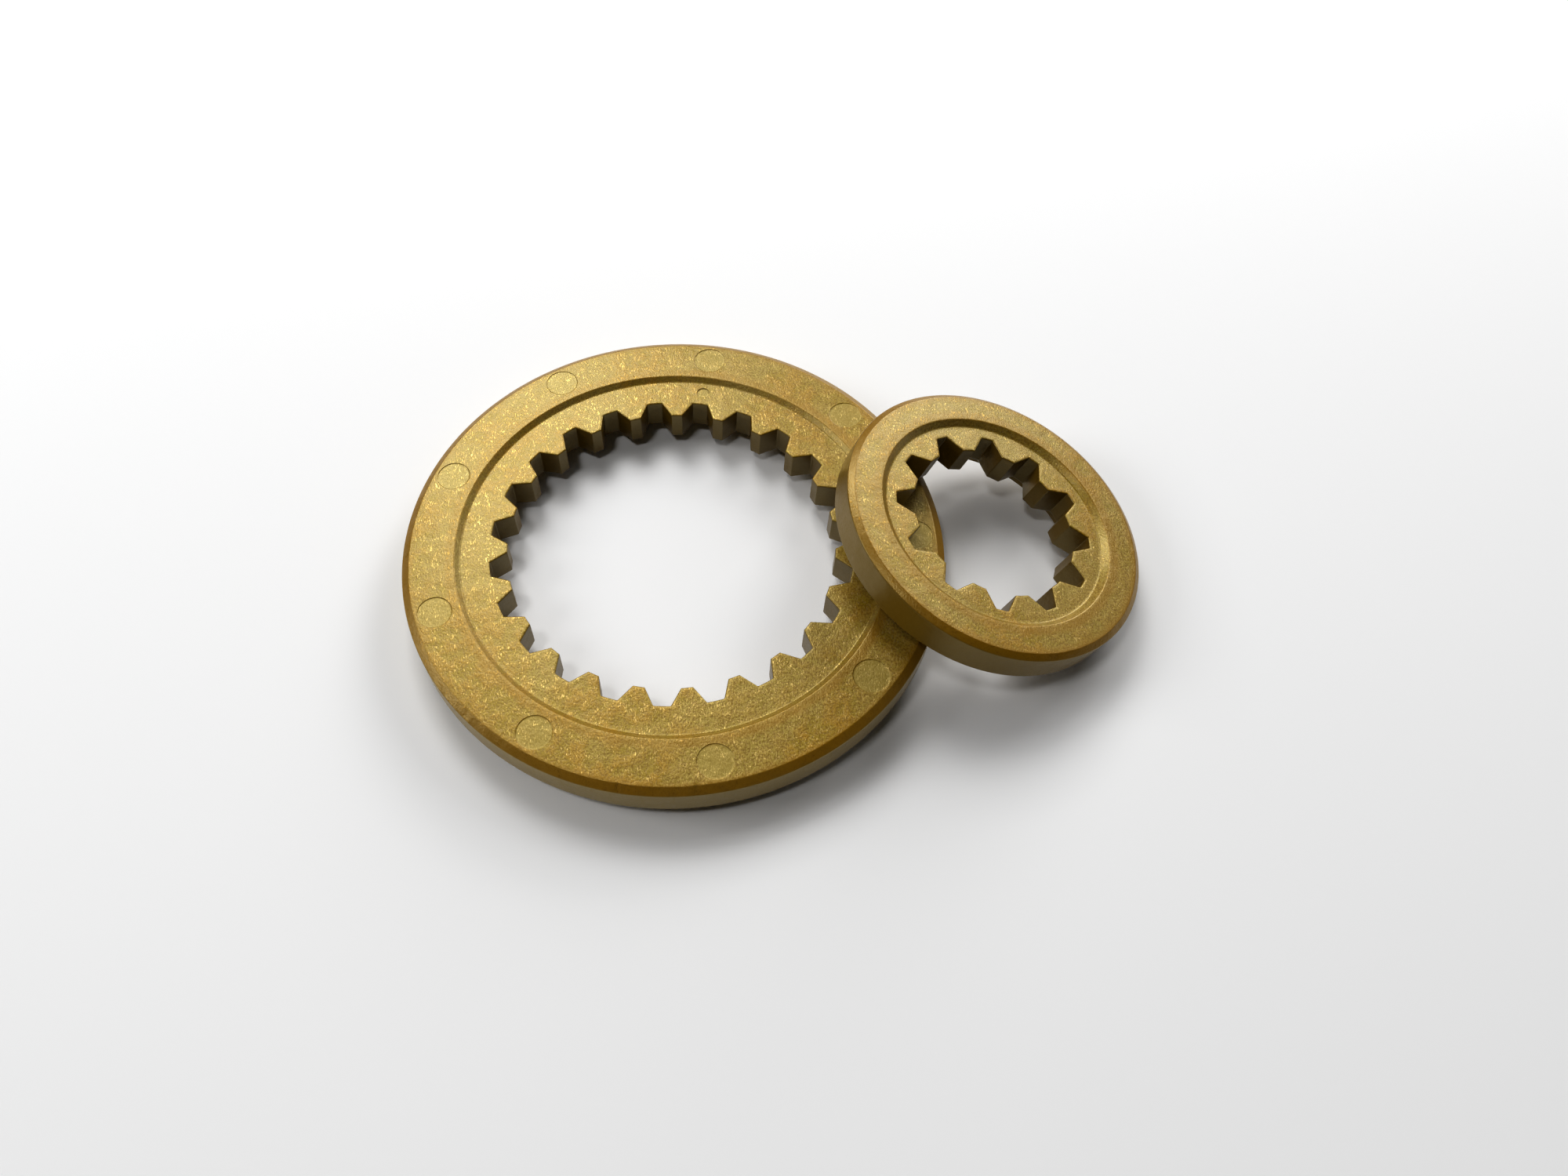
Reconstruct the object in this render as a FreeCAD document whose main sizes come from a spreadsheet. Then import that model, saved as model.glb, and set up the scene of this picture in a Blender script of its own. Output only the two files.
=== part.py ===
import FreeCAD, Part
import math
import os
import Sketcher

# Two loose moulded rings with internal splines of one tooth size.  The large ring lies flat.
# The small ring leans: one side stands on the floor, the other lies on the large ring's outer edge.
# Frame: +Z up, origin on the large ring's axis, level with the surface that it lies on.

doc = FreeCAD.newDocument("splined_rings")

# ---------------------------------------------------------------- driving sizes, millimetres and degrees
SIZES = [
    ("flange_thickness", 5.5),
    ("land_height", 1.65),
    ("large_outer_radius", 38.1),
    ("large_chamfer_width", 1.09),
    ("large_chamfer_height", 0.71),
    ("large_foot_chamfer", 0.62),
    ("large_step_radius", 30.6),
    ("large_step_foot_radius", 29.9),
    ("large_recess_depth", 0.69),
    ("large_tip_radius", 23.17),
    ("large_root_radius", 25.69),
    ("large_teeth", 23),
    ("large_tip_half_angle", 1.941),
    ("large_space_half_angle", 2.54),
    ("large_land_inner", 28.0),
    ("large_land_outer", 33.5),
    ("large_turn", 12.656),
    ("mark_circle_radius", 34.2),
    ("mark_radius", 2.4),
    ("mark_depth", 0.12),
    ("mark_count", 9),
    ("mark_angle", 22.42),
    ("gate_circle_radius", 28.03),
    ("gate_radius", 0.95),
    ("gate_depth", 0.15),
    ("gate_angle", 62.42),
    ("small_outer_radius", 21.5),
    ("small_chamfer_width", 0.86),
    ("small_chamfer_height", 0.55),
    ("small_foot_chamfer", 0.71),
    ("small_step_radius", 16.7),
    ("small_step_foot_radius", 15.9),
    ("small_recess_depth", 0.78),
    ("small_tip_radius", 11.7),
    ("small_root_radius", 14.25),
    ("small_teeth", 12),
    ("small_tip_half_angle", 4.59),
    ("small_space_half_angle", 3.45),
    ("small_land_inner", 15.5),
    ("small_land_outer", 17.2),
    ("small_turn", 20.4),
    ("tooth_round", 0.25),
    ("lean_angle", 16.683),
    ("lean_axis_x", 0.119796),
    ("lean_axis_y", 0.992799),
    ("lean_centre_x", 42.1807),
    ("lean_centre_y", -4.0688),
    ("lean_centre_z", 4.9378),
]

sheet = doc.addObject("Spreadsheet::Sheet", "Sizes")
for row, (alias, value) in enumerate(SIZES, start=1):
    sheet.set("A%d" % row, alias)
    sheet.set("B%d" % row, str(value))
    sheet.setAlias("B%d" % row, alias)
doc.recompute()


def size(alias):
    return float(sheet.get(alias))


def origin_feature(body, role):
    for feature in body.Origin.OriginFeatures:
        if feature.Role == role:
            return feature
    raise RuntimeError("no origin feature " + role)


def point_sketch(body, name, role, points):
    """Closed polygon; each point is (x, y, x expression, y expression), bound to the sheet."""
    sketch = body.newObject("Sketcher::SketchObject", name)
    sketch.AttachmentSupport = [(origin_feature(body, role), "")]
    sketch.MapMode = "FlatFace"
    vectors = [FreeCAD.Vector(p[0], p[1], 0) for p in points]
    count = len(vectors)
    for i in range(count):
        sketch.addGeometry(Part.LineSegment(vectors[i], vectors[(i + 1) % count]), False)
    for i in range(count):
        sketch.addConstraint(Sketcher.Constraint("Coincident", i, 2, (i + 1) % count, 1))
    for i, p in enumerate(points):
        for kind, value, expression, mark in (("DistanceX", p[0], p[2], "x"), ("DistanceY", p[1], p[3], "y")):
            if expression is None:
                axis = -2 if mark == "x" else -1
                sketch.addConstraint(Sketcher.Constraint("PointOnObject", i, 1, axis))
                continue
            index = sketch.addConstraint(Sketcher.Constraint(kind, -1, 1, i, 1, value))
            sketch.renameConstraint(index, "%s%d" % (mark, i))
            sketch.setExpression("Constraints.%s%d" % (mark, i), expression)
    return sketch


def ring_section(body, name, ring):
    """Half section of a ring: radius across, height up."""
    s = "Sizes."
    tip = s + ring + "_tip_radius"
    outer = s + ring + "_outer_radius"
    foot = s + ring + "_foot_chamfer"
    land = s + "land_height"
    top = s + "land_height + " + s + "flange_thickness"
    recess = top + " - " + s + ring + "_recess_depth"
    rows = [
        (tip, land),
        (s + ring + "_land_inner", land),
        (s + ring + "_land_inner", None),
        (s + ring + "_land_outer", None),
        (s + ring + "_land_outer", land),
        (outer + " - " + foot, land),
        (outer, land + " + " + foot),
        (outer, top + " - " + s + ring + "_chamfer_height"),
        (outer + " - " + s + ring + "_chamfer_width", top),
        (s + ring + "_step_radius", top),
        (s + ring + "_step_foot_radius", recess),
        (tip, recess),
    ]
    return point_sketch(body, name, "XZ_Plane", [evaluated(r, z) for r, z in rows])


def evaluated(x_expression, y_expression):
    x = 0.0 if x_expression is None else float(sheet.evalExpression(x_expression.replace("Sizes.", "")))
    y = 0.0 if y_expression is None else float(sheet.evalExpression(y_expression.replace("Sizes.", "")))
    return (x, y, x_expression, y_expression)


def tooth_space(body, name, ring):
    """One space between two teeth, centred on the X axis: straight flanks and a flat root."""
    s = "Sizes."
    tip = s + ring + "_tip_radius"
    root = s + ring + "_root_radius"
    half_pitch = "(180 / " + s + ring + "_teeth)"
    at_tip = "((" + half_pitch + " - " + s + ring + "_tip_half_angle) * 1 deg)"
    at_root = "(" + s + ring + "_space_half_angle * 1 deg)"
    inside = "(" + tip + " - 1.2)"
    rows = [
        (inside + " * cos" + at_tip, "-" + inside + " * sin" + at_tip),
        (tip + " * cos" + at_tip, "-" + tip + " * sin" + at_tip),
        (root + " * cos" + at_root, "-" + root + " * sin" + at_root),
        (root + " * cos" + at_root, root + " * sin" + at_root),
        (tip + " * cos" + at_tip, tip + " * sin" + at_tip),
        (inside + " * cos" + at_tip, inside + " * sin" + at_tip),
    ]
    return point_sketch(body, name, "XY_Plane", [evaluated(x, y) for x, y in rows])


def through_pocket(body, name, sketch):
    """Cut upwards from the floor plane through the whole ring."""
    pocket = body.newObject("PartDesign::Pocket", name)
    pocket.Profile = sketch
    pocket.Type = 0
    pocket.Reversed = True
    pocket.setExpression("Length", "Sizes.land_height + Sizes.flange_thickness + 1")
    return pocket


def around(body, name, original, count_expression):
    """Repeat a feature about the ring's axis and make it the body's result."""
    pattern = body.newObject("PartDesign::PolarPattern", name)
    pattern.Originals = [original]
    pattern.Axis = (origin_feature(body, "Z_Axis"), [""])
    pattern.Angle = 360
    pattern.setExpression("Occurrences", count_expression)
    body.Tip = pattern
    return pattern


def round_pocket(body, name, ring_radius, angle, radius, depth, floor):
    """Shallow round recess cut down from a top face: centre in polar form."""
    s = "Sizes."
    sketch = body.newObject("Sketcher::SketchObject", name + "_outline")
    sketch.AttachmentSupport = [(origin_feature(body, "XY_Plane"), "")]
    sketch.MapMode = "FlatFace"
    sketch.setExpression("AttachmentOffset.Base.z", floor)
    x = size(ring_radius) * math.cos(math.radians(size(angle)))
    y = size(ring_radius) * math.sin(math.radians(size(angle)))
    sketch.addGeometry(Part.Circle(FreeCAD.Vector(x, y, 0), FreeCAD.Vector(0, 0, 1), size(radius)), False)
    turn = "(" + s + angle + " * 1 deg)"
    for kind, value, trig in (("DistanceX", x, "cos"), ("DistanceY", y, "sin")):
        index = sketch.addConstraint(Sketcher.Constraint(kind, -1, 1, 0, 3, value))
        sketch.renameConstraint(index, trig)
        sketch.setExpression("Constraints." + trig, s + ring_radius + " * " + trig + turn)
    index = sketch.addConstraint(Sketcher.Constraint("Radius", 0, size(radius)))
    sketch.renameConstraint(index, "radius")
    sketch.setExpression("Constraints.radius", s + radius)
    pocket = body.newObject("PartDesign::Pocket", name)
    pocket.Profile = sketch
    pocket.Type = 0
    pocket.setExpression("Length", s + depth)
    return pocket


def tooth_edges(shape, ring):
    """Upright edges where a flank meets a tip or a root."""
    names = []
    for i, edge in enumerate(shape.Edges, start=1):
        if len(edge.Vertexes) != 2:
            continue
        a, b = edge.Vertexes[0].Point, edge.Vertexes[1].Point
        if abs(a.x - b.x) > 1e-4 or abs(a.y - b.y) > 1e-4 or abs(a.z - b.z) < 1.0:
            continue
        radius = math.hypot(a.x, a.y)
        if min(abs(radius - size(ring + "_tip_radius")), abs(radius - size(ring + "_root_radius"))) < 0.02:
            names.append("Edge%d" % i)
    return names


def checked_volume(body, label):
    doc.recompute()
    if body.Shape.isNull() or not body.Shape.isValid():
        raise RuntimeError(label + " has no valid shape")
    return body.Shape.Volume


def make_ring(ring):
    body = doc.addObject("PartDesign::Body", ring + "_ring")
    body.Label = ring + "_ring"
    section = ring_section(body, ring + "_section", ring)
    turned = body.newObject("PartDesign::Revolution", ring + "_turned")
    turned.Profile = section
    turned.ReferenceAxis = (section, ["V_Axis"])
    turned.Angle = 360
    blank = checked_volume(body, ring + " blank")
    space = tooth_space(body, ring + "_tooth_space", ring)
    cut = through_pocket(body, ring + "_space_cut", space)
    one = checked_volume(body, ring + " first space")
    around(body, ring + "_spline", cut, "Sizes." + ring + "_teeth")
    cut_all = checked_volume(body, ring + " spline")
    if not one < blank or abs((blank - cut_all) - size(ring + "_teeth") * (blank - one)) > 0.01 * blank:
        raise RuntimeError(ring + " spline is not cut all round")
    spline = body.Tip
    rounded = body.newObject("PartDesign::Fillet", ring + "_tooth_rounding")
    rounded.Base = (spline, tooth_edges(spline.Shape, ring))
    rounded.setExpression("Radius", "Sizes.tooth_round")
    body.Tip = rounded
    after = checked_volume(body, ring + " rounding")
    print(ring, "blank", round(blank, 1), "spline", round(cut_all, 1), "rounded", round(after, 1))
    return body


large = make_ring("large")
before = large.Shape.Volume
top_face = "Sizes.land_height + Sizes.flange_thickness"
mark = round_pocket(large, "ejector_mark", "mark_circle_radius", "mark_angle", "mark_radius", "mark_depth", top_face)
one_mark = checked_volume(large, "ejector mark")
around(large, "ejector_marks", mark, "Sizes.mark_count")
all_marks = checked_volume(large, "ejector marks")
if abs((before - all_marks) - size("mark_count") * (before - one_mark)) > 0.05 or not one_mark < before:
    raise RuntimeError("ejector marks are not cut all round")
recess_face = top_face + " - Sizes.large_recess_depth"
gate = round_pocket(large, "gate_mark", "gate_circle_radius", "gate_angle", "gate_radius", "gate_depth", recess_face)
large.Tip = gate
with_gate = checked_volume(large, "gate mark")
if not with_gate < all_marks:
    raise RuntimeError("gate mark is not cut")

small = make_ring("small")

# The large ring is turned about its own axis; the small ring is turned, then leaned over.
z_axis = FreeCAD.Vector(0, 0, 1)
large.Placement = FreeCAD.Placement(FreeCAD.Vector(0, 0, 0), FreeCAD.Rotation(z_axis, size("large_turn")))
lean_axis = FreeCAD.Vector(size("lean_axis_x"), size("lean_axis_y"), 0)
lean = FreeCAD.Rotation(lean_axis, size("lean_angle")).multiply(FreeCAD.Rotation(z_axis, size("small_turn")))
centre = FreeCAD.Vector(size("lean_centre_x"), size("lean_centre_y"), size("lean_centre_z"))
small.Placement = FreeCAD.Placement(centre, lean)
doc.recompute()

for item in doc.Objects:
    if "Invalid" in item.State or "Error" in item.State:
        raise RuntimeError("failed: " + item.Label + " " + str(item.State))

bodies = [large, small]
for body in bodies:
    shape = body.Shape
    if shape.isNull() or not shape.isValid() or len(shape.Solids) != 1:
        raise RuntimeError("bad shape: " + body.Label)

overlap = large.Shape.common(small.Shape).Volume
gap = large.Shape.distToShape(small.Shape)[0]
print("overlap", round(overlap, 5), "gap", round(gap, 4))
if overlap > 1e-6:
    raise RuntimeError("the rings overlap")

os.makedirs("parts", exist_ok=True)
for body in bodies:
    body.Shape.exportStep(os.path.join("parts", body.Label + ".step"))
    box = body.Shape.BoundBox
    print(body.Label, "volume", round(body.Shape.Volume, 1), "box",
          [round(v, 2) for v in (box.XMin, box.YMin, box.ZMin, box.XMax, box.YMax, box.ZMax)])
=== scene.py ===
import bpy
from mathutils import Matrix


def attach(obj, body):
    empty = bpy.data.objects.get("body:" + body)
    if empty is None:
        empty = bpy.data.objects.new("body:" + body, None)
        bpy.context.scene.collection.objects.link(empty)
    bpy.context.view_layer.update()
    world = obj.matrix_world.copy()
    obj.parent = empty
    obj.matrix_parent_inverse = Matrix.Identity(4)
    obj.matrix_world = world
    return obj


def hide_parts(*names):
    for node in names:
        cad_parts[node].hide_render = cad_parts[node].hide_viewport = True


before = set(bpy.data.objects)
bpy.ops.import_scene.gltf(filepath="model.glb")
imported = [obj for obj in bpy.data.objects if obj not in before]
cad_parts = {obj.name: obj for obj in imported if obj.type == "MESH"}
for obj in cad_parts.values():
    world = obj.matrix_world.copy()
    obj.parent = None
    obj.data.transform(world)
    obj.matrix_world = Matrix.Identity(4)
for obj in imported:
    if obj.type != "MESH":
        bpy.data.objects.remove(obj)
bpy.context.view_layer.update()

import math

import bmesh
import bpy
from mathutils import Matrix, Vector

MM = 0.001

# steps along a tooth's crest or root and round its corners, and extra points on its flank
CREST_STEPS = 4
CORNER_STEPS = 5
FLANK_PLACES = (0.25, 0.5, 0.75)

# flat left round a pressed mark, and steps along each side of the patch that holds it
MARK_MARGIN = 0.9
SIDE_STEPS = 12


# ------------------------------------------------------------------ small helpers

def rounded(points, radii, steps=4):
    """A polyline in (x, y) with each inner corner turned into an arc of its radius."""
    out = [points[0]]
    for i in range(1, len(points) - 1):
        a, b, c = (Vector(p) for p in (points[i - 1], points[i], points[i + 1]))
        u, v = (a - b), (c - b)
        reach = min(u.length, v.length) * 0.45
        u.normalize()
        v.normalize()
        half = math.acos(max(-1.0, min(1.0, u.dot(v)))) / 2
        radius = min(radii[i], reach * math.tan(half))
        if radius < 1e-6 or half > math.pi / 2 - 1e-3:
            out.append(tuple(b))
            continue
        tangent = radius / math.tan(half)
        centre = b + (u + v).normalized() * (radius / math.sin(half))
        start = b + u * tangent - centre
        end = b + v * tangent - centre
        turn = start.angle_signed(end)
        for k in range(steps + 1):
            out.append(tuple(centre + (Matrix.Rotation(-turn * k / steps, 2) @ start)))
    out.append(points[-1])
    return out


def tooth_outline(ring, offset, tip_round, root_round):
    """Closed outline of the bore, moved into the material by offset."""
    tip, root = ring["tip"] + offset, ring["root"] + offset
    half_pitch = math.pi / ring["teeth"]
    a_tip = math.radians(ring["tip_half"])
    a_root = half_pitch - math.radians(ring["space_half"])
    b = Vector((ring["tip"] * math.cos(a_tip), ring["tip"] * math.sin(a_tip)))
    c = Vector((ring["root"] * math.cos(a_root), ring["root"] * math.sin(a_root)))
    along = (c - b).normalized()
    inwards = Vector((along.y, -along.x))
    if inwards.y > 0:
        inwards = -inwards
    b = b + inwards * offset

    def on_circle(radius):
        middle = b.dot(along)
        return b + along * (-middle + math.sqrt(middle * middle - b.length_squared + radius * radius))

    b2, c2 = on_circle(tip), on_circle(root)
    b_angle, c_angle = math.atan2(b2.y, b2.x), math.atan2(c2.y, c2.x)
    crest_angles = [b_angle * k / CREST_STEPS for k in range(CREST_STEPS)]
    root_angles = [c_angle + (half_pitch - c_angle) * k / CREST_STEPS for k in range(1, CREST_STEPS + 1)]
    crest = [(tip * math.cos(a), tip * math.sin(a)) for a in crest_angles]
    tail = [(root * math.cos(a), root * math.sin(a)) for a in root_angles]
    corners = [crest[-1], tuple(b2), tuple(c2), tail[0]]
    arcs = rounded(corners, [0, tip_round, root_round, 0], CORNER_STEPS)[1:-1]
    tip_arc, root_arc = arcs[:CORNER_STEPS + 1], arcs[CORNER_STEPS + 1:]
    flank = [tuple(Vector(tip_arc[-1]).lerp(Vector(root_arc[0]), t)) for t in FLANK_PLACES]
    # from the tooth's middle (angle 0) to the middle of the space beside it
    half = crest + tip_arc + flank + root_arc + tail
    mirrored = [(x, -y) for x, y in reversed(half[1:])]
    tooth = mirrored[1:] + half
    points = []
    for k in range(ring["teeth"]):
        turn = Matrix.Rotation(ring["phase"] + 2 * half_pitch * k, 2)
        points += [turn @ Vector(p) for p in tooth]
    return points


def circle(radius, angles):
    return [Vector((radius * math.cos(a), radius * math.sin(a))) for a in angles]


def loop(bm, points, z):
    return [bm.verts.new((p[0] * MM, p[1] * MM, z * MM)) for p in points]


def bridge(bm, one, two):
    count = len(one)
    return [bm.faces.new((one[k], one[(k + 1) % count], two[(k + 1) % count], two[k])) for k in range(count)]


def pressed_disc(bm, border, centre, radius, depth, z):
    """A round mark pressed into a flat face, joined to the closed border of vertices round it."""
    away = [(Vector((v.co.x / MM, v.co.y / MM)) - centre).normalized() for v in border]
    # radius and depth of each loop: flat round the mark, a narrow soft rim, then the mark's floor
    profile = [
        (radius + 0.1, 0), (radius + 0.05, 0),
        (radius + 0.015, 0.01), (radius, 0.025), (radius - 0.03, depth - 0.02), (radius - 0.06, depth - 0.005),
        (radius - 0.1, depth), (radius * 0.85, depth), (radius * 0.4, depth),
    ]
    last = border
    for r, dz in profile:
        new = loop(bm, [centre + d * r for d in away], z - dz)
        for face in bridge(bm, last, new):
            # the floor takes the second material where the ring has one
            face.material_index = int(dz >= depth)
        last = new
    middle = bm.verts.new((centre.x * MM, centre.y * MM, (z - depth) * MM))
    for k in range(len(last)):
        bm.faces.new((last[k], last[(k + 1) % len(last)], middle)).material_index = 1


def band_with_discs(bm, inner, outer, angles, z, discs):
    """A flat band between two loops, with round marks at (radius, azimuth, mark radius, depth)."""
    count = len(angles)

    def nearest(azimuth):
        return min(range(count), key=lambda i: abs(math.remainder(angles[i] - azimuth, 2 * math.pi)))

    covered, sides = set(), {}
    for polar, azimuth, radius, depth in discs:
        azimuth = math.radians(azimuth)
        half = math.asin((radius + MARK_MARGIN) / polar)
        first, last = nearest(azimuth - half), nearest(azimuth + half)
        steps = (last - first) % count
        cells = [(first + k) % count for k in range(steps)]
        covered.update(cells)
        for i in (first, last):
            ends = inner[i].co, outer[i].co
            sides[i] = [bm.verts.new(ends[0].lerp(ends[1], t / SIDE_STEPS)) for t in range(1, SIDE_STEPS)]
        run = cells + [last]
        border = [inner[i] for i in run] + sides[last]
        border += [outer[i] for i in reversed(run)] + sides[first][::-1]
        centre = Vector((polar * math.cos(azimuth), polar * math.sin(azimuth)))
        pressed_disc(bm, border, centre, radius, depth, z)
    for i in range(count):
        n = (i + 1) % count
        if i not in covered:
            ahead, behind = sides.get(n, []), sides.get(i, [])[::-1]
            bm.faces.new([inner[i], inner[n]] + ahead + [outer[n], outer[i]] + behind)


# ------------------------------------------------------------------ the two rings, millimetres and degrees

LAND, FLANGE = 1.65, 5.5
TOP = LAND + FLANGE

LARGE = {
    "name": "large_ring_moulding", "outer": 38.1, "chamfer": (1.09, 0.71), "foot": 0.62,
    "step": (30.6, 29.9), "recess": 0.69, "tip": 23.17, "root": 25.69, "teeth": 23,
    "tip_half": 1.941, "space_half": 2.54, "land": (28.0, 33.5), "phase": math.radians(4.83),
    # outer wall colour, greyed as a painted reflection of the pale floor
    "painted_wall_light": (0.30, 0.21, 0.07, 1),
}
SMALL = {
    "name": "small_ring_moulding", "outer": 21.5, "chamfer": (0.86, 0.55), "foot": 0.71,
    "step": (16.7, 15.9), "recess": 0.78, "tip": 11.7, "root": 14.25, "teeth": 12,
    "tip_half": 4.59, "space_half": 3.45, "land": (15.5, 17.2), "phase": math.radians(5.4),
    # outer wall colour, darker than the top faces as painted shade
    "painted_wall_light": (0.15, 0.085, 0.004, 1),
}
# round marks: circle radius, azimuth, mark radius, depth
EJECTOR_MARKS = [(34.2, -4.92 + 40 * k, 2.4, 0.08) for k in range(9)]
GATE_MARKS = [(28.03, 75.08, 0.95, 0.15)]
# small knocks on the edge between top face and chamfer: radius, azimuth, reach, depth
EDGE_NICKS = [(37.2, -104.5, 0.34, 0.14), (37.2, -89.6, 0.32, 0.12), (37.2, -139.0, 0.3, 0.1)]

# roundings of the bore: its two rims, and the corners of the teeth from the top down
BORE_TOP_EDGE, BORE_LOW_EDGE = 0.2, 0.4
TIP_AT_TOP, TIP_UPPER, TIP_LOWER, TIP_AT_FOOT = 0.28, 0.3, 0.36, 0.5
ROOT_ROUND = 0.3
SMALLEST_ROUND = 0.03
EDGE_STEPS = 4
# roundings outside the bore
STEP_FOOT, STEP_TOP = 0.4, 0.3
LAND_EDGE, RIM_TOP, RIM_LOW, RIM_FOOT = 0.22, 0.25, 0.3, 0.2
BEARING_CORNER, BEARING_EDGE = 0.15, 0.25


def bore_levels(recess):
    """Offset into the material, height and tip rounding, from the recess down to the flange's underside."""
    levels = [(BORE_TOP_EDGE + 0.25, recess, TIP_AT_TOP)]
    for k in range(EDGE_STEPS + 1):
        a = math.pi / 2 * k / EDGE_STEPS
        drop = BORE_TOP_EDGE * (1 - math.cos(a))
        levels.append((BORE_TOP_EDGE * (1 - math.sin(a)), recess - drop, TIP_AT_TOP))
    levels.append((0.0, recess - 1.2, TIP_UPPER))
    levels.append((0.0, LAND + 1.4, TIP_LOWER))
    for k in range(EDGE_STEPS + 1):
        a = math.pi / 2 * (1 - k / EDGE_STEPS)
        rise = BORE_LOW_EDGE * (1 - math.cos(a))
        levels.append((BORE_LOW_EDGE * (1 - math.sin(a)), LAND + rise, TIP_AT_FOOT))
    levels.append((BORE_LOW_EDGE + 0.3, LAND, TIP_AT_FOOT))
    return levels


def ring_section(ring, recess):
    """Everything outside the bore as one section: radius, height, edge rounding."""
    inner = ring["root"] + 0.8
    outer = ring["outer"]
    width, drop = ring["chamfer"]
    step_top, step_foot = ring["step"]
    land_inner, land_outer = ring["land"]
    # the points without a rounding lie in flat faces and keep the shading of an edge beside that edge
    return [
        (inner, recess, 0), (step_foot - 0.5, recess, 0), (step_foot, recess, STEP_FOOT),
        (step_top, TOP, STEP_TOP), (step_top + 0.5, TOP, 0), (outer - width - 0.2, TOP, 0),
        (outer - width, TOP, LAND_EDGE), (outer, TOP - drop, RIM_TOP), (outer, LAND + ring["foot"], RIM_LOW),
        (outer - ring["foot"], LAND, RIM_FOOT), (land_outer, LAND, BEARING_CORNER), (land_outer, 0, BEARING_EDGE),
        (land_inner, 0, BEARING_EDGE), (land_inner, LAND, BEARING_CORNER), (inner, LAND, 0),
    ]


def knock_edge(bm, nicks):
    for polar, azimuth, reach, depth in nicks:
        azimuth = math.radians(azimuth)
        spot = Vector((polar * math.cos(azimuth), polar * math.sin(azimuth), TOP)) * MM
        for vertex in bm.verts:
            near = 1 - (vertex.co - spot).length / (reach * MM)
            if near > 0:
                vertex.co.z -= depth * MM * min(1.0, 2 * near)


def make_ring(ring, land_marks, recess_marks, nicks, placement):
    bm = bmesh.new()
    recess = TOP - ring["recess"]
    loops = []
    for offset, z, tip_round in bore_levels(recess):
        tip_round = max(SMALLEST_ROUND, tip_round - offset)
        loops.append(loop(bm, tooth_outline(ring, offset, tip_round, ROOT_ROUND + offset), z))
    for one, two in zip(loops, loops[1:]):
        bridge(bm, one, two)
    angles = [math.atan2(v.co.y, v.co.x) for v in loops[0]]

    section = ring_section(ring, recess)
    outline = rounded([(r, z) for r, z, _ in section], [edge for _, _, edge in section])
    outline_loops = [loop(bm, circle(r, angles), z) for r, z in outline]
    for k in range(len(outline) - 1):
        (r0, z0), (r1, z1) = outline[k], outline[k + 1]
        flat_top = abs(z0 - TOP) < 1e-6 and abs(z1 - TOP) < 1e-6 and r1 - r0 > 1
        if flat_top:
            band_with_discs(bm, outline_loops[k], outline_loops[k + 1], angles, TOP, land_marks)
        elif k == 0:
            band_with_discs(bm, outline_loops[0], outline_loops[1], angles, recess, recess_marks)
        else:
            bridge(bm, outline_loops[k], outline_loops[k + 1])
    bridge(bm, loops[0], outline_loops[0])
    bridge(bm, outline_loops[-1], loops[-1])
    knock_edge(bm, nicks)
    bmesh.ops.recalc_face_normals(bm, faces=bm.faces)
    mesh = bpy.data.meshes.new(ring["name"])
    bm.to_mesh(mesh)
    bm.free()
    # places on the ring as moulded, kept for the material before the ring is leaned into place
    moulded = mesh.attributes.new("moulded", "FLOAT_VECTOR", "POINT")
    for vertex, place in zip(mesh.vertices, moulded.data):
        place.vector = vertex.co
    mesh.transform(placement)
    mesh.shade_smooth()
    piece = bpy.data.objects.new(ring["name"], mesh)
    bpy.context.scene.collection.objects.link(piece)
    weigh = piece.modifiers.new("face_weights", "WEIGHTED_NORMAL")
    weigh.mode = "FACE_AREA"
    weigh.weight = 100
    return piece


upright = Matrix.Identity(4)
lean = Matrix.Rotation(math.radians(16.683), 4, Vector((0.119796, 0.992799, 0)))
leaning = Matrix.Translation(Vector((42.1807, -4.0688, 4.9378)) * MM) @ lean
large = make_ring(LARGE, EJECTOR_MARKS, GATE_MARKS, EDGE_NICKS, upright)
small = make_ring(SMALL, [], [], [], leaning)


# ------------------------------------------------------------------ moulded plastic with bright flakes

DARK_GRAIN = (0.150, 0.068, 0.001, 1)
OLIVE = (0.280, 0.178, 0.002, 1)
TAN = (0.345, 0.184, 0.005, 1)
GREY = (0.320, 0.230, 0.045, 1)
PALE_FLAKE = (0.80, 0.60, 0.24, 1)
# painted shade: a dark brown for the walls deep in the bore, standing in for the shade of the tooth spaces
BORE_PAINTED_SHADE = (0.085, 0.045, 0.002, 1)
# painted shade: a darker brown for the chamfer round the outer edge
CHAMFER_PAINTED_SHADE = (0.240, 0.115, 0.001, 1)
# darker, richer tone for bands beside the step and the outer edge
EDGE_BAND_TONE = (0.275, 0.130, 0.001, 1)
GLOSS_TINT = (1.0, 0.84, 0.39, 1)

# noise scales are counts per metre, and bump heights are metres
PATCH_SCALE, BROAD_SCALE, BLOTCH_SCALE, CROWD_SCALE, GRAIN_SCALE = 260.0, 90.0, 450.0, 700.0, 3600.0
STREAK_A_TURN, STREAK_A_SCALE = 0.5, (6400.0, 2600.0, 6400.0)
STREAK_B_TURN, STREAK_B_SCALE = -0.6, (6900.0, 2200.0, 6900.0)
FINE_BUMP, WAVE_BUMP = 0.00006, 0.0002


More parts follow.
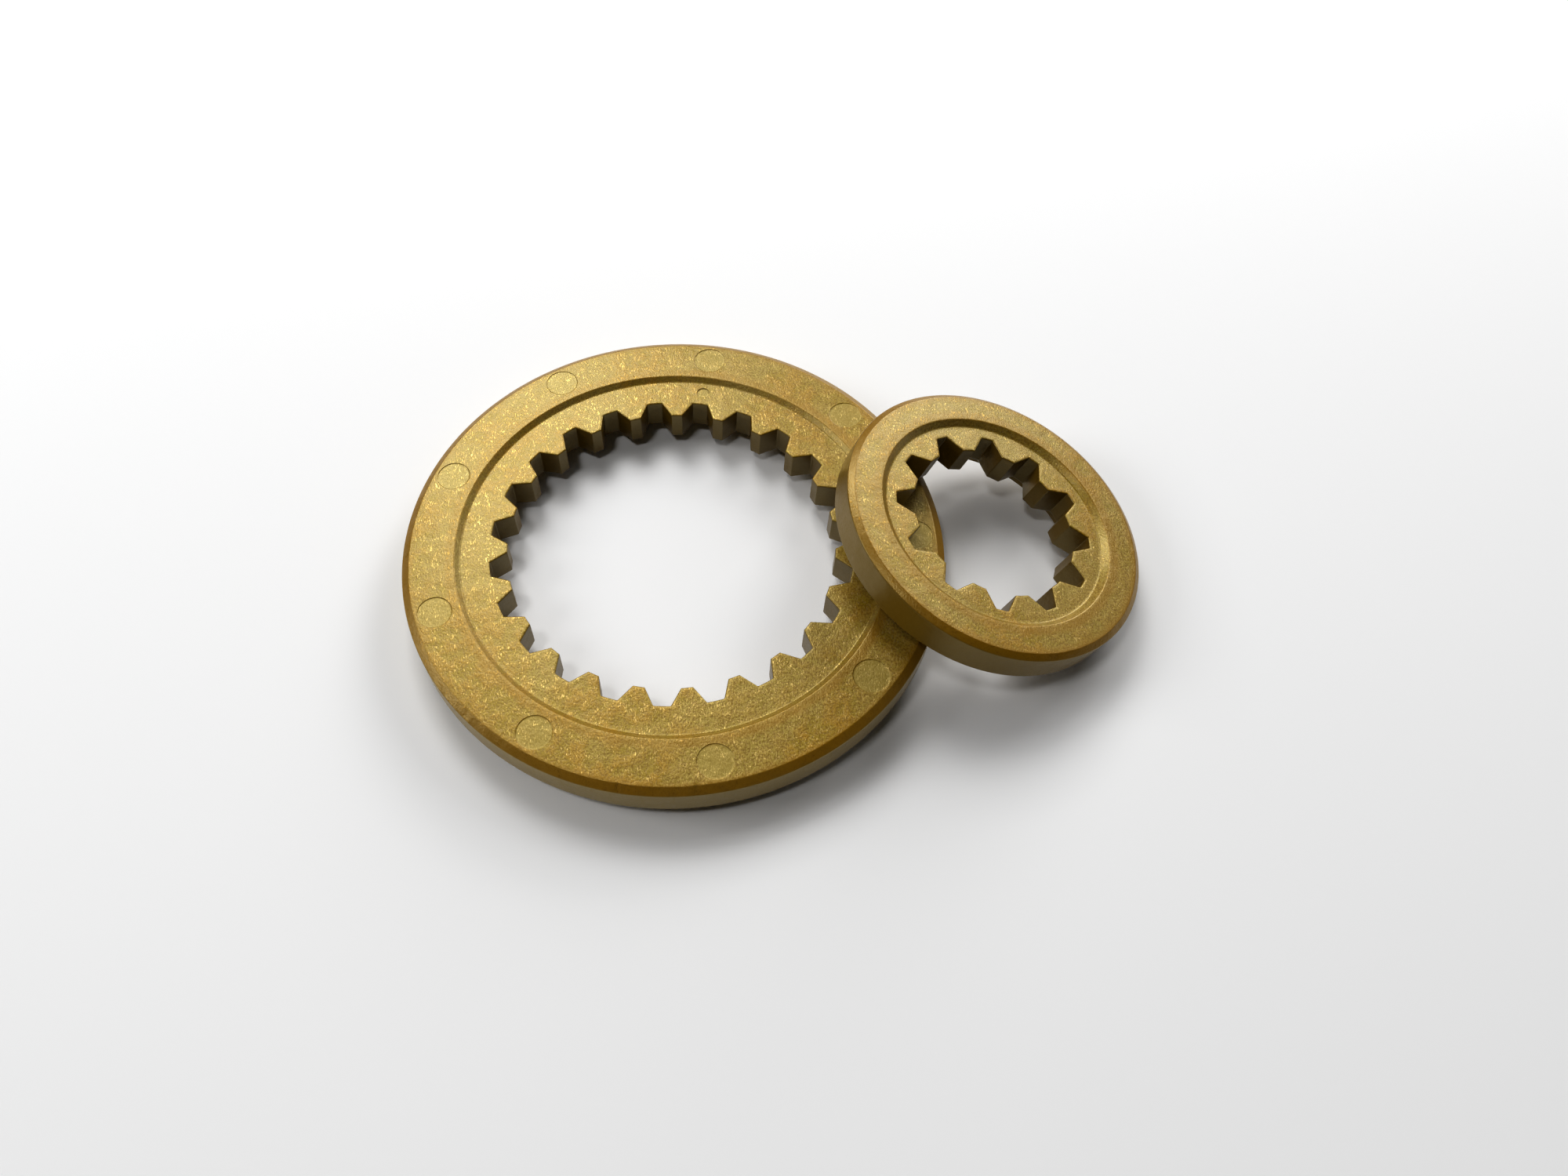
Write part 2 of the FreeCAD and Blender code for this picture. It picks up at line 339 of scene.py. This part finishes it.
class Nodes:
    """Short names for building a node tree."""

    def __init__(self, name):
        self.material = bpy.data.materials.new(name)
        self.material.use_nodes = True
        self.tree = self.material.node_tree
        self.tree.nodes.clear()

    def add(self, kind, settings=None, **inputs):
        node = self.tree.nodes.new(kind)
        for key, value in (settings or {}).items():
            setattr(node, key, value)
        for key, value in inputs.items():
            self.put(node, key, value)
        return node

    def put(self, node, key, value):
        """Set or link an input, by number as in i0 or by name with _ for a space."""
        by_number = key[0] == "i" and key[1:].isdigit()
        socket = node.inputs[int(key[1:]) if by_number else key.replace("_", " ")]
        if isinstance(value, bpy.types.NodeSocket):
            self.tree.links.new(value, socket)
        else:
            socket.default_value = value

    def math(self, operation, a, b=0.0):
        return self.add("ShaderNodeMath", {"operation": operation}, i0=a, i1=b).outputs[0]

    def times(self, a, b):
        return self.math("MULTIPLY", a, b)

    def ramp(self, value, low, high, out_low=0.0, out_high=1.0):
        smooth = {"interpolation_type": "SMOOTHSTEP"}
        node = self.add("ShaderNodeMapRange", smooth, i0=value, i1=low, i2=high, i3=out_low, i4=out_high)
        return node.outputs[0]

    def mix(self, factor, a, b):
        return self.add("ShaderNodeMix", {"data_type": "RGBA"}, i0=factor, i6=a, i7=b).outputs[2]

    def noise(self, vector, scale, detail=2.0, roughness=0.5):
        node = self.add("ShaderNodeTexNoise", None, Vector=vector, Scale=scale, Detail=detail,
                        Roughness=roughness)
        return node.outputs[0]

    def stretched(self, vector, turn, scale):
        node = self.add("ShaderNodeMapping", None, Vector=vector, Rotation=(0, 0, turn), Scale=scale)
        return node.outputs[0]


def flecked_plastic(name, ring, placement, greyed):
    n = Nodes(name)
    position = n.add("ShaderNodeAttribute", {"attribute_name": "moulded"}).outputs["Vector"]
    cut = n.add("ShaderNodeSeparateXYZ", None, Vector=position)
    flat = n.add("ShaderNodeCombineXYZ", None, X=cut.outputs[0], Y=cut.outputs[1], Z=0.0)
    metres = n.add("ShaderNodeVectorMath", {"operation": "LENGTH"}, i0=flat.outputs[0]).outputs[1]
    radius = n.times(metres, 1 / MM)
    normal = n.add("ShaderNodeTexCoord").outputs["Normal"]
    axis = placement.to_3x3() @ Vector((0, 0, 1))
    facing_up = n.add("ShaderNodeVectorMath", {"operation": "DOT_PRODUCT"}, i0=normal, i1=axis).outputs[1]
    face = n.ramp(facing_up, 0.35, 0.9)

    # streaky flakes that lie in patches of differing direction
    patch = n.noise(position, PATCH_SCALE, 1.0)
    streak_a = n.noise(n.stretched(position, STREAK_A_TURN, STREAK_A_SCALE), 1.0)
    streak_b = n.noise(n.stretched(position, STREAK_B_TURN, STREAK_B_SCALE), 1.0)
    streak = n.add("ShaderNodeMix", None, i0=n.ramp(patch, 0.40, 0.60), i2=streak_a, i3=streak_b).outputs[0]
    crowd = n.ramp(n.noise(position, CROWD_SCALE), 0.38, 0.62, 0.35, 1.0)
    flake = n.times(n.times(n.ramp(streak, 0.54, 0.68), crowd), n.ramp(face, 0.0, 1.0, 0.3, 1.0))
    grain = n.noise(position, GRAIN_SCALE, 3.0, 0.6)
    blotch = n.noise(position, BLOTCH_SCALE, 3.0)
    broad = n.noise(position, BROAD_SCALE)

    colour = n.mix(n.ramp(blotch, 0.40, 0.60), OLIVE, TAN)
    colour = n.mix(n.times(n.ramp(broad, 0.44, 0.58), 0.6), colour, GREY)
    colour = n.mix(n.ramp(grain, 0.56, 0.40, 0.0, 0.65), colour, DARK_GRAIN)
    if greyed:
        colour = n.mix(0.75, colour, GREY)
    colour = n.mix(n.times(flake, 0.55), colour, PALE_FLAKE)
    # a darker, richer band on the top face beside the step and beside the outer edge
    step, outer = ring["step"][0], ring["outer"]
    step_distance = n.math("ABSOLUTE", n.math("SUBTRACT", radius, step + 0.5))
    outside_step = n.times(n.ramp(step_distance, 1.3, 0.3), n.ramp(radius, step - 0.2, step))
    edge_bands = n.math("MAXIMUM", outside_step, n.ramp(radius, outer - 2.2, outer - 0.9))
    colour = n.mix(n.times(edge_bands, 0.6), colour, EDGE_BAND_TONE)
    # painted shade: the chamfer round the outer edge is darkened
    colour = n.mix(n.times(n.ramp(radius, outer - 1.2, outer - 0.9), 0.8), colour, CHAMFER_PAINTED_SHADE)
    # faces that don't face up take a wall colour of painted light instead: painted shade in the bore, darkest at
    # the tooth roots, then the ring's painted wall light outside
    side = n.mix(n.ramp(radius, ring["root"], ring["root"] + 1.0), BORE_PAINTED_SHADE, ring["painted_wall_light"])
    colour = n.mix(face, side, colour)

    height = n.math("ADD", n.times(streak, 0.6), n.times(grain, 0.4))
    fine_strength = n.ramp(face, 0.0, 1.0, 0.12, 0.7)
    fine = n.add("ShaderNodeBump", None, Strength=fine_strength, Distance=FINE_BUMP, Height=height)
    wave = n.add("ShaderNodeBump", None, Strength=0.4, Distance=WAVE_BUMP, Height=blotch,
                 Normal=fine.outputs[0])
    shader = n.add("ShaderNodeBsdfPrincipled", None, Base_Color=colour, Metallic=n.times(flake, 0.7),
                   IOR=1.85, Specular_Tint=GLOSS_TINT, Roughness=n.ramp(grain, 0.3, 0.7, 0.29, 0.38),
                   Normal=wave.outputs[0])
    n.add("ShaderNodeOutputMaterial", None, Surface=shader.outputs[0])
    return n.material


large.data.materials.append(flecked_plastic("large_ring_plastic", LARGE, upright, False))
large.data.materials.append(flecked_plastic("pressed_mark_plastic", LARGE, upright, True))
small.data.materials.append(flecked_plastic("small_ring_plastic", SMALL, leaning, False))

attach(large, "large_ring")
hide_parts("large_ring")
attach(small, "small_ring")
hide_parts("small_ring")


# ------------------------------------------------------------------ floor, light and camera

FLOOR_HALF = 3.0
floor_corners = [(-FLOOR_HALF, -FLOOR_HALF, 0), (FLOOR_HALF, -FLOOR_HALF, 0),
                 (FLOOR_HALF, FLOOR_HALF, 0), (-FLOOR_HALF, FLOOR_HALF, 0)]
floor_mesh = bpy.data.meshes.new("floor")
floor_mesh.from_pydata(floor_corners, [], [(0, 1, 2, 3)])
floor = bpy.data.objects.new("floor", floor_mesh)
bpy.context.scene.collection.objects.link(floor)
floor_nodes = Nodes("pale_floor")
floor_shader = floor_nodes.add("ShaderNodeBsdfPrincipled", None, Base_Color=(0.9, 0.9, 0.9, 1), Roughness=0.8)
floor_nodes.add("ShaderNodeOutputMaterial", None, Surface=floor_shader.outputs[0])
floor_mesh.materials.append(floor_nodes.material)

ROOM_STRENGTH = 0.02
world = bpy.data.worlds.new("room")
bpy.context.scene.world = world
world.use_nodes = True
world.node_tree.nodes["Background"].inputs[0].default_value = (1, 1, 1, 1)
world.node_tree.nodes["Background"].inputs[1].default_value = ROOM_STRENGTH

PANEL_TARGET = Vector((0.01, 0, 0))
PANEL_DISTANCE = 0.8
# azimuth and elevation in degrees, size in metres, power in watts
STUDIO_PANELS = {
    "back_right_low": (60, 22, 0.32, 1.8), "back_right": (45, 35, 0.32, 1.8), "back": (104, 46, 0.32, 2.1),
    "back_high": (100, 56, 0.32, 1.2), "back_left": (140, 52, 0.32, 0.3), "left": (175, 32, 0.32, 2.0),
    "overhead_left": (-150, 70, 0.12, 0.9), "right": (10, 30, 0.32, 0.25),
}


def area_light(name, azimuth, elevation, size, power):
    data = bpy.data.lights.new(name, "AREA")
    data.shape = "RECTANGLE"
    data.size = size
    data.size_y = size
    data.energy = power
    lamp = bpy.data.objects.new(name, data)
    a, e = math.radians(azimuth), math.radians(elevation)
    away = Vector((math.cos(e) * math.cos(a), math.cos(e) * math.sin(a), math.sin(e)))
    lamp.location = PANEL_TARGET + away * PANEL_DISTANCE
    lamp.rotation_euler = (-away).to_track_quat("-Z", "Y").to_euler()
    bpy.context.scene.collection.objects.link(lamp)


for panel, (azimuth, elevation, size, power) in STUDIO_PANELS.items():
    area_light(panel, azimuth, elevation, size, power)

CAMERA_PLACE = Vector((-2.19, -83.673, 128.413)) * MM
CAMERA_PITCH, CAMERA_ROLL = math.radians(59.29), math.radians(-4.896)
camera_data = bpy.data.cameras.new("camera")
camera_data.sensor_width = 36.0
camera_data.lens = 23.955
camera_data.shift_x = 0.0786
camera_data.shift_y = 0.0142
camera_data.clip_start = 0.01
camera = bpy.data.objects.new("camera", camera_data)
forward = Vector((0, math.cos(CAMERA_PITCH), -math.sin(CAMERA_PITCH)))
right = Vector((1, 0, 0))
down = forward.cross(right)
r_axis = right * math.cos(CAMERA_ROLL) - down * math.sin(CAMERA_ROLL)
d_axis = right * math.sin(CAMERA_ROLL) + down * math.cos(CAMERA_ROLL)
basis = Matrix((r_axis, -d_axis, -forward)).transposed().to_4x4()
camera.matrix_world = Matrix.Translation(CAMERA_PLACE) @ basis
bpy.context.scene.collection.objects.link(camera)
bpy.context.scene.camera = camera
bpy.context.scene.view_settings.view_transform = "Standard"
bpy.context.scene.view_settings.gamma = 0.86
